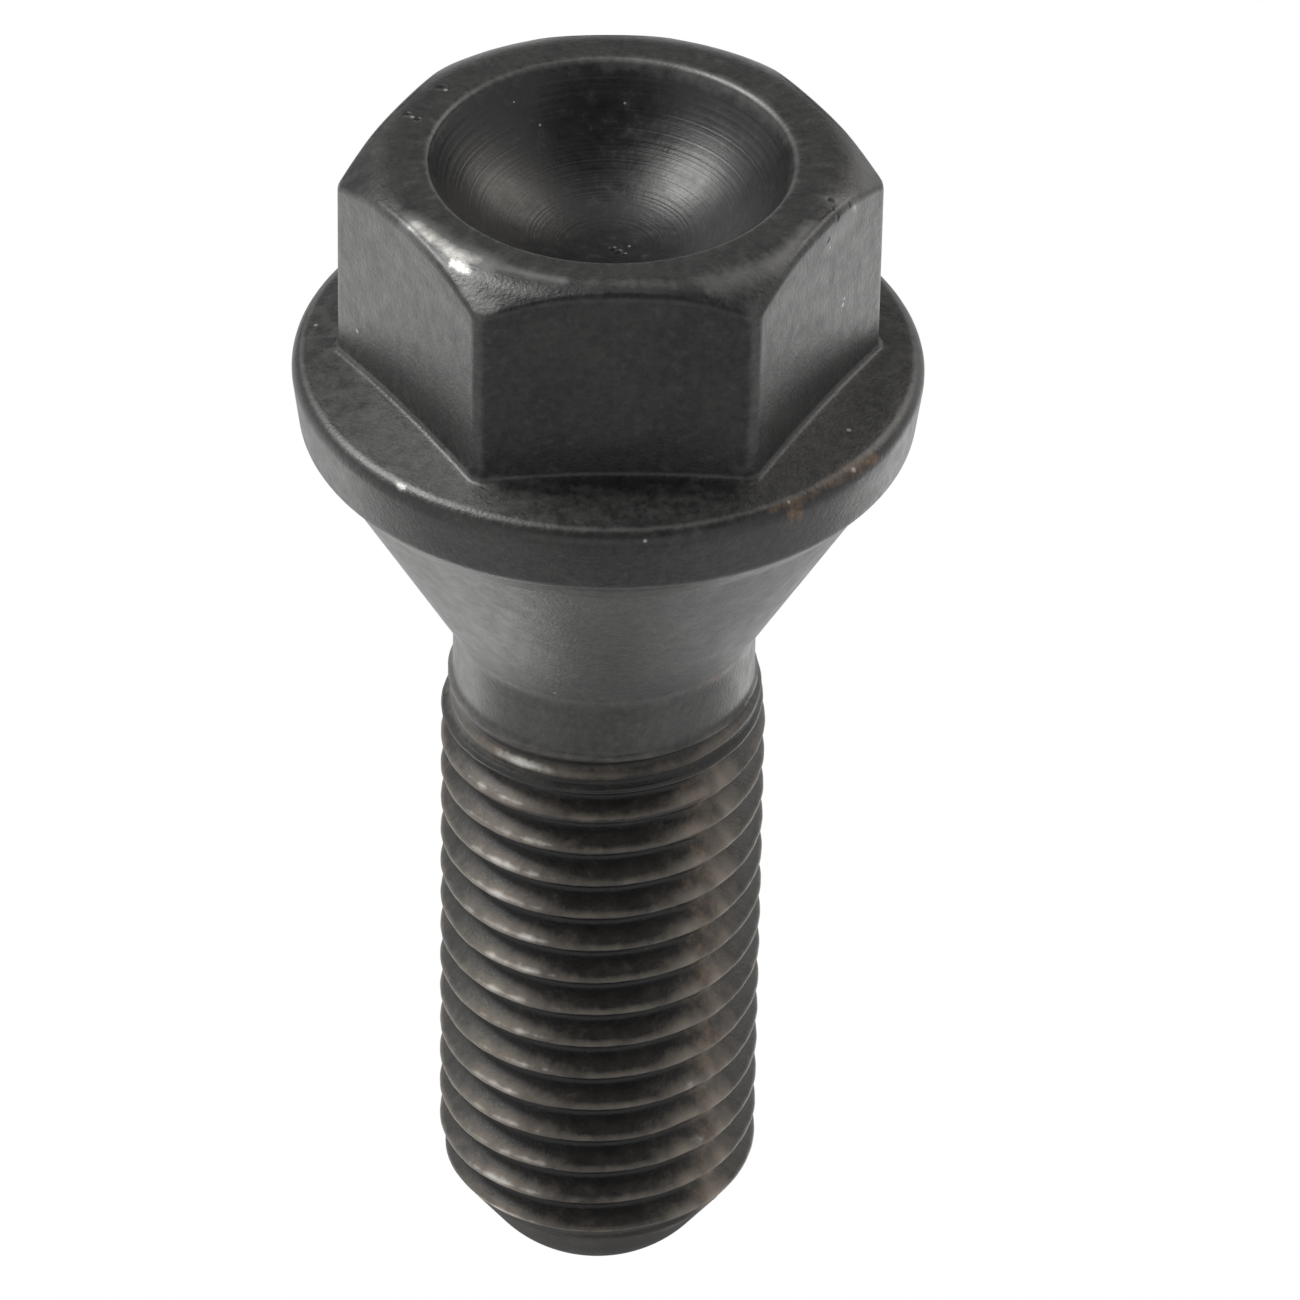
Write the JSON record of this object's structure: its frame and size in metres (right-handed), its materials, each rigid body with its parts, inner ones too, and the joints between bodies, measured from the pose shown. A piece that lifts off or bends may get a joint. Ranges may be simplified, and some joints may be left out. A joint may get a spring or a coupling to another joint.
{
  "type": "wheel bolt",
  "caption": "Steel wheel bolt with a dished hexagon head, a flange, a conical seat and a rounded threaded shank.",
  "frame": {"origin": "centre of the flat rim round the dish in the head, which the bolt stands on", "axes": "+Z along the bolt towards the tip of its thread; two flats of the hexagon face +Y and -Y"},
  "size_m": [0.0228, 0.0228, 0.0486],
  "materials": {
    "black_oxide_steel": "black phosphate over steel, satin, worn lighter at the edges and brownish on the thread"
  },
  "bodies": {
    "root": {"wheel_bolt": "black_oxide_steel"}
  },
  "joints": []
}
